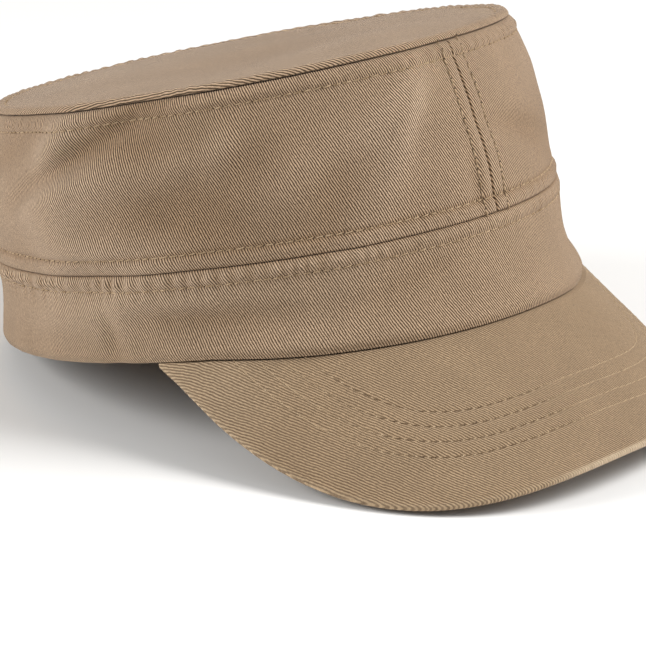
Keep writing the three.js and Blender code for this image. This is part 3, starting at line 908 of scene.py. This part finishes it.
flat = -np.stack([across, onward], -1) - outward * round_edge[..., None]
turned_in = [flat[:, :1] + [0, PEAK_LEDGE + PEAK_LIP], flat[:, :1] + [0, PEAK_LEDGE]]
grain = np.concatenate(turned_in + [flat, flat[:, ::-1]] + turned_in[::-1], 1)
peak_cloth = washed_twill("washed cotton twill of the peak", PEAK_RIDGE, PEAK_GROOVE_AND_SHADE)
peak = cloth_mesh("peak_cloth", points, grain, False, peak_cloth)
# painted light: the peak's cover is paler towards its two corners by the band
mark(peak, "relief", both_sides(CORNER_PAINTED_LIGHT * ease((80 - forward) / 30)))
rub = (RUB_ROUND + RUB_AT_TIP * ease((0.2 - np.abs(share)) / 0.12)) * ease(1 - from_edge / 1.2)
mark(peak, "worn", both_sides(rub))
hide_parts("peak")
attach(peak, "root")

# Topstitching: single rows of spun thread beside every seam and four rows through the peak. Each
# stitch is a short length of thread that rises from one needle hole, lies a little askew and
# dives into the next. Each needle hole in the seams holds a small dark bead of painted shade, and
# on the peak a pale tuft.
STITCH_PITCH = 3.0
THREAD_WIDTH = 0.46
THREAD_FLECK = 900.0
STITCH_SLANT = 0.12
SLANT_SPREAD = 0.09
ROW_START = 0.6
ROW_END = 0.8
HEM_ROW_START = 3.6
SEAM_THREAD = ("#BDA486", "#8B7356")
# painted shade: the dark beads in the seams' needle holes
SEAM_HOLE_SHADE = ("#5B4733", "#4A3827")
PEAK_PITCH = 3.4
PEAK_THREAD_WIDTH = 0.33
PEAK_SLANT = 0.05
# the third colour is painted light: the pale of the peak's thread at both ends of its rows
PEAK_THREAD = ("#776148", "#5E4935", "#B39B7D")
PEAK_TUFT = ("#C4AE90", "#A8906F")
PEAK_ROW_CLEAR = 3.2
# the peak's thread keeps its darker colour near a line this far to the wearer's right, in metres
DARK_THREAD_SIDE = 0.036
DARK_THREAD_REACH = (0.018, 0.034)


def spun_thread(name, colour, shade, rubbed_and_painted_light=None):
    """Spun sewing thread: matt, with a fine twist that breaks its tone up. Given a pale colour, as
    on the peak, it is painted as pale as the cloth on the wearer's left of the peak and at its far
    right, and keeps its darker colour only between: painted light at those ends of the rows."""
    material = bpy.data.materials.new(name)
    material.use_nodes = True
    tree = material.node_tree
    shader = tree.nodes["Principled BSDF"]
    place = add(tree, "ShaderNodeTexCoord").outputs["Object"]
    spots = {"Vector": place, "Scale": THREAD_FLECK, "Detail": 2.0}
    fleck = add(tree, "ShaderNodeTexNoise", spots).outputs["Fac"]
    ends = {"Value": fleck, "From Min": 0.35, "From Max": 0.65}
    tone = add(tree, "ShaderNodeMapRange", ends).outputs["Result"]
    shades = {"Factor": tone, 6: srgb(shade), 7: srgb(colour)}
    mixed = add(tree, "ShaderNodeMix", shades, data_type="RGBA").outputs[2]
    if rubbed_and_painted_light:
        side = add(tree, "ShaderNodeSeparateXYZ", {"Vector": place}).outputs["X"]
        moved = {0: side, 1: DARK_THREAD_SIDE}
        beside = add(tree, "ShaderNodeMath", moved, operation="ADD").outputs[0]
        away = add(tree, "ShaderNodeMath", {0: beside}, operation="ABSOLUTE").outputs[0]
        ends = {"Value": away, "From Min": DARK_THREAD_REACH[0], "From Max": DARK_THREAD_REACH[1]}
        amount = add(tree, "ShaderNodeMapRange", ends, interpolation_type="SMOOTHSTEP")
        paler = {"Factor": amount.outputs["Result"], 6: mixed, 7: srgb(rubbed_and_painted_light)}
        mixed = add(tree, "ShaderNodeMix", paler, data_type="RGBA").outputs[2]
    tree.links.new(mixed, shader.inputs["Base Color"])
    shader.inputs["Roughness"].default_value = 0.8
    shader.inputs["Specular IOR Level"].default_value = 0.25
    return material


def stitch_tree(thread, needle_hole):
    """Lays a stitch on each step along the rows it is given, and a needle hole between stitches."""
    tree = bpy.data.node_groups.new("topstitching", "GeometryNodeTree")
    tree.interface.new_socket("Rows", in_out="INPUT", socket_type="NodeSocketGeometry")
    for name in ("Pitch", "Thread", "Rise", "Sink", "Hole", "Slant"):
        tree.interface.new_socket(name, in_out="INPUT", socket_type="NodeSocketFloat")
    tree.interface.new_socket("Seed", in_out="INPUT", socket_type="NodeSocketInt")
    tree.interface.new_socket("Stitches", in_out="OUTPUT", socket_type="NodeSocketGeometry")
    given = add(tree, "NodeGroupInput").outputs

    row = add(tree, "GeometryNodeMeshToCurve", {"Mesh": given["Rows"]}).outputs["Curve"]
    pace = {"Curve": row, "Length": given["Pitch"]}
    steps = add(tree, "GeometryNodeResampleCurve", pace, mode="LENGTH").outputs["Curve"]
    sunk = {0: given["Sink"], 1: -1.0}
    deep = add(tree, "ShaderNodeMath", sunk, operation="MULTIPLY").outputs[0]
    spots = {}
    for name, share, height in (
        ("Start", -0.44, deep),
        ("Start Handle", -0.34, given["Rise"]),
        ("End Handle", 0.34, given["Rise"]),
        ("End", 0.44, deep),
        ("Hole", 0.5, 0.0),
    ):
        ahead = {0: given["Pitch"], 1: share}
        along = add(tree, "ShaderNodeMath", ahead, operation="MULTIPLY").outputs[0]
        spots[name] = add(tree, "ShaderNodeCombineXYZ", {"X": along, "Z": height}).outputs[0]
    between = spots.pop("Hole")
    bent = dict(spots, Resolution=7)
    arc = add(tree, "GeometryNodeCurvePrimitiveBezierSegment", bent, mode="POSITION")
    halved = {0: given["Thread"], 1: 0.5}
    radius = add(tree, "ShaderNodeMath", halved, operation="MULTIPLY").outputs[0]
    ring = add(tree, "GeometryNodeCurvePrimitiveCircle", {"Resolution": 6, "Radius": radius})
    threaded = {"Profile Curve": ring.outputs["Curve"], "Fill Caps": True}
    threaded["Curve"] = arc.outputs["Curve"]
    stitch = add(tree, "GeometryNodeCurveToMesh", threaded).outputs["Mesh"]
    ball = add(tree, "GeometryNodeMeshIcoSphere", {"Radius": given["Hole"], "Subdivisions": 2})
    flattened = {"Geometry": ball.outputs["Mesh"], "Translation": between}
    flattened["Scale"] = (1.25, 0.9, 0.45)
    hole = add(tree, "GeometryNodeTransform", flattened).outputs["Geometry"]

    outward = add(tree, "GeometryNodeInputNamedAttribute", {"Name": "out"}, data_type="FLOAT_VECTOR")
    ways = {"Primary Axis": outward.outputs["Attribute"]}
    ways["Secondary Axis"] = add(tree, "GeometryNodeInputTangent").outputs["Tangent"]
    facing = add(tree, "FunctionNodeAxesToRotation", ways, primary_axis="Z", secondary_axis="X")
    here = {"Points": steps, "Rotation": facing.outputs["Rotation"]}
    chance = {"Min": (0.88, 0.85, 0.75), "Max": (1.04, 1.15, 1.2), "Seed": given["Seed"]}
    size = add(tree, "FunctionNodeRandomValue", chance, data_type="FLOAT_VECTOR").outputs["Value"]
    stitches = dict(here, Instance=stitch, Scale=size)
    sewn = add(tree, "GeometryNodeInstanceOnPoints", stitches).outputs["Instances"]
    leans = []
    for operation in ("SUBTRACT", "ADD"):
        slant = {0: given["Slant"], 1: SLANT_SPREAD}
        lean = add(tree, "ShaderNodeMath", slant, operation=operation).outputs[0]
        leans.append(add(tree, "ShaderNodeCombineXYZ", {"Z": lean}).outputs[0])
    chance = {"Min": leans[0], "Max": leans[1], "Seed": given["Seed"]}
    askew = add(tree, "FunctionNodeRandomValue", chance, data_type="FLOAT_VECTOR").outputs["Value"]
    turned = {"Instances": sewn, "Rotation": askew}
    swayed = add(tree, "GeometryNodeRotateInstances", turned).outputs["Instances"]
    holes = dict(here, Instance=hole)
    pierced = add(tree, "GeometryNodeInstanceOnPoints", holes).outputs["Instances"]
    finished = []
    for instances, material in ((swayed, thread), (pierced, needle_hole)):
        real = add(tree, "GeometryNodeRealizeInstances", {"Geometry": instances})
        smooth = add(tree, "GeometryNodeSetShadeSmooth", {"Geometry": real.outputs["Geometry"]})
        coloured = {"Geometry": smooth.outputs["Geometry"], "Material": material}
        finished.append(add(tree, "GeometryNodeSetMaterial", coloured).outputs["Geometry"])
    joined = add(tree, "GeometryNodeJoinGeometry")
    for geometry in reversed(finished):
        tree.links.new(geometry, joined.inputs["Geometry"])
    add(tree, "NodeGroupOutput", {"Stitches": joined.outputs["Geometry"]})
    return tree


def sew(name, rows, tree, slot, **sizes):
    """Makes one piece of stitches along rows of points and the outward directions there."""
    spots = np.concatenate([lie(points) for points, _ in rows])
    a = -math.radians(REST_PITCH)
    tilt = np.array([[1, 0, 0], [0, math.cos(a), -math.sin(a)], [0, math.sin(a), math.cos(a)]])
    outs = np.concatenate([out for _, out in rows]) @ tilt.T
    edges, first = [], 0
    for points, _ in rows:
        edges += [(k, k + 1) for k in range(first, first + len(points) - 1)]
        first += len(points)
    mesh = bpy.data.meshes.new(name)
    mesh.from_pydata(spots.tolist(), edges, [])
    layer = mesh.attributes.new("out", "FLOAT_VECTOR", "POINT")
    layer.data.foreach_set("vector", outs.astype(np.float32).ravel())
    path = bpy.data.objects.new(name + "_path", mesh)
    bpy.context.collection.objects.link(path)
    modifier = path.modifiers.new("topstitching", "NODES")
    modifier.node_group = tree
    for item in tree.interface.items_tree:
        if item.in_out == "INPUT" and item.name in sizes:
            modifier[item.identifier] = sizes[item.name]
    sewn = path.evaluated_get(bpy.context.evaluated_depsgraph_get())
    made = bpy.data.meshes.new_from_object(sewn)
    bpy.data.objects.remove(path)
    piece = bpy.data.objects.new(name, made)
    bpy.context.collection.objects.link(piece)
    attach(piece, "root")


def wall_row(angle, height, offset_of):
    """A row on the side wall, with the outward direction of the head oval along it."""
    angle = angle + 0 * height
    height = height + 0 * angle
    points = oval_point(angle, offset_of(angle, height), height)
    out = oval_point(angle, 1.0, height) - oval_point(angle, 0.0, height)
    return points, out


peak_grid = np.stack([x.ravel(), forward.ravel()], -1)
peak_lift = lift.ravel()


def peak_row(inset, side):
    """A row through the peak at one distance from its edge, on its upper (1) or under (-1) side."""
    outward = edge_distance(flat_edge[:, 0], flat_edge[:, 1])[1]
    flat = flat_edge - outward * inset
    x, forward = peak_place(flat[:, 0], flat[:, 1])
    from_edge = edge_distance(flat[:, 0], flat[:, 1])[0]
    half_width, half_length = HALF_WIDTH + PEAK_ROW_CLEAR, HALF_LENGTH + PEAK_ROW_CLEAR
    clear = np.hypot(x / half_width, forward / half_length) > 1
    kept = (from_edge > inset - 0.05) & clear & (np.abs(x) < PEAK_ARCH_RADIUS * 0.95)
    x, forward, flat = x[kept], forward[kept], flat[kept]
    gaps = peak_grid[None] - np.stack([x, forward], -1)[:, None]
    nearest = np.argmin((gaps ** 2).sum(-1), 1)
    shift, down = (UNDER_SHIFT, PEAK_THICKNESS) if side < 0 else ((0, 0), 0)
    relief = peak_relief(flat[:, 0] + shift[0], flat[:, 1] + shift[1], from_edge[kept])
    height = peak_height(x, forward) + peak_lift[nearest] + side * relief / upright - down
    slope = x / np.sqrt(PEAK_ARCH_RADIUS ** 2 - x ** 2)
    out = np.stack([slope, -math.tan(math.radians(PEAK_SLOPE)) + 0 * x, 1 + 0 * x], -1)
    out = side * out / np.linalg.norm(out, axis=1)[:, None]
    return np.stack([x, -forward, height], -1), out


seam_tree = stitch_tree(
    spun_thread("spun thread of the seams", *SEAM_THREAD),
    spun_thread("shade in the needle holes", *SEAM_HOLE_SHADE),
)
peak_tree = stitch_tree(
    spun_thread("spun thread of the peak", *PEAK_THREAD),
    spun_thread("pale tufts at the peak's needle holes", *PEAK_TUFT),
)
# the sizes of one stitch and its needle hole, in metres, and its slant
seam_sizes = dict(Pitch=STITCH_PITCH / 1000, Thread=THREAD_WIDTH / 1000, Slant=STITCH_SLANT)
seam_sizes.update(Rise=0.00034, Sink=0.0003, Hole=0.00026)
band_sizes = dict(seam_sizes, Hole=0.0002)
peak_sizes = dict(Pitch=PEAK_PITCH / 1000, Thread=PEAK_THREAD_WIDTH / 1000, Slant=PEAK_SLANT)
peak_sizes.update(Rise=0.00018, Sink=0.0003, Hole=0.00021)

all_round = oval_angle(np.linspace(0.0, PERIMETER - STITCH_PITCH, 900))
crown_start = BAND_HEIGHT + ROW_START
up_crown = np.linspace(crown_start, TOP_HEIGHT + TOP_HEIGHT_SLOPE - ROW_END, 90)
up_back = np.linspace(crown_start, TOP_HEIGHT - TOP_HEIGHT_SLOPE - ROW_END, 90)
up_band = np.linspace(HEM_ROW_START, BAND_HEIGHT - ROW_END, 60)
crown_rows = [
    wall_row(all_round, BAND_HEIGHT + ROW_OFFSET, crown_offset),
    wall_row(all_round, top_seam(all_round) - ROW_OFFSET, crown_offset),
]
band_rows = [wall_row(all_round, BAND_HEIGHT - ROW_OFFSET, band_offset)]
for beside in (-ROW_OFFSET, ROW_OFFSET):
    beside_front = oval_angle(FRONT_SEAM + beside)
    beside_back = oval_angle((BACK_SEAM + beside) % PERIMETER)
    crown_rows.append(wall_row(beside_front, up_crown, crown_offset))
    crown_rows.append(wall_row(beside_back, up_back, crown_offset))
    band_rows.append(wall_row(beside_back, up_band, band_offset))
rim = oval_point(all_round, crown_base(all_round, top_seam(all_round)), 0)
rim_share = 1 - (ROW_OFFSET - SEAM_ROLL) / np.hypot(rim[:, 0], rim[:, 1])
straight_up = np.tile([0.0, 0.0, 1.0], (len(all_round), 1))
top_row = (top_surface(all_round, rim_share), straight_up)

sew("crown_topstitching", crown_rows, seam_tree, "crown_twill", Seed=3, **seam_sizes)
sew("top_topstitching", [top_row], seam_tree, "crown_twill", Seed=7, **seam_sizes)
sew("band_topstitching", band_rows, seam_tree, "band_twill", Seed=5, **band_sizes)
for side, name in ((1, "peak_stitching"), (-1, "peak_stitching_under")):
    insets = [PEAK_ROW_MARGIN + row * PEAK_ROW_SPACING for row in range(PEAK_ROWS_SEWN)]
    peak_rows = [peak_row(inset, side) for inset in insets]
    sew(name, peak_rows, peak_tree, "peak_twill", Seed=9, **peak_sizes)
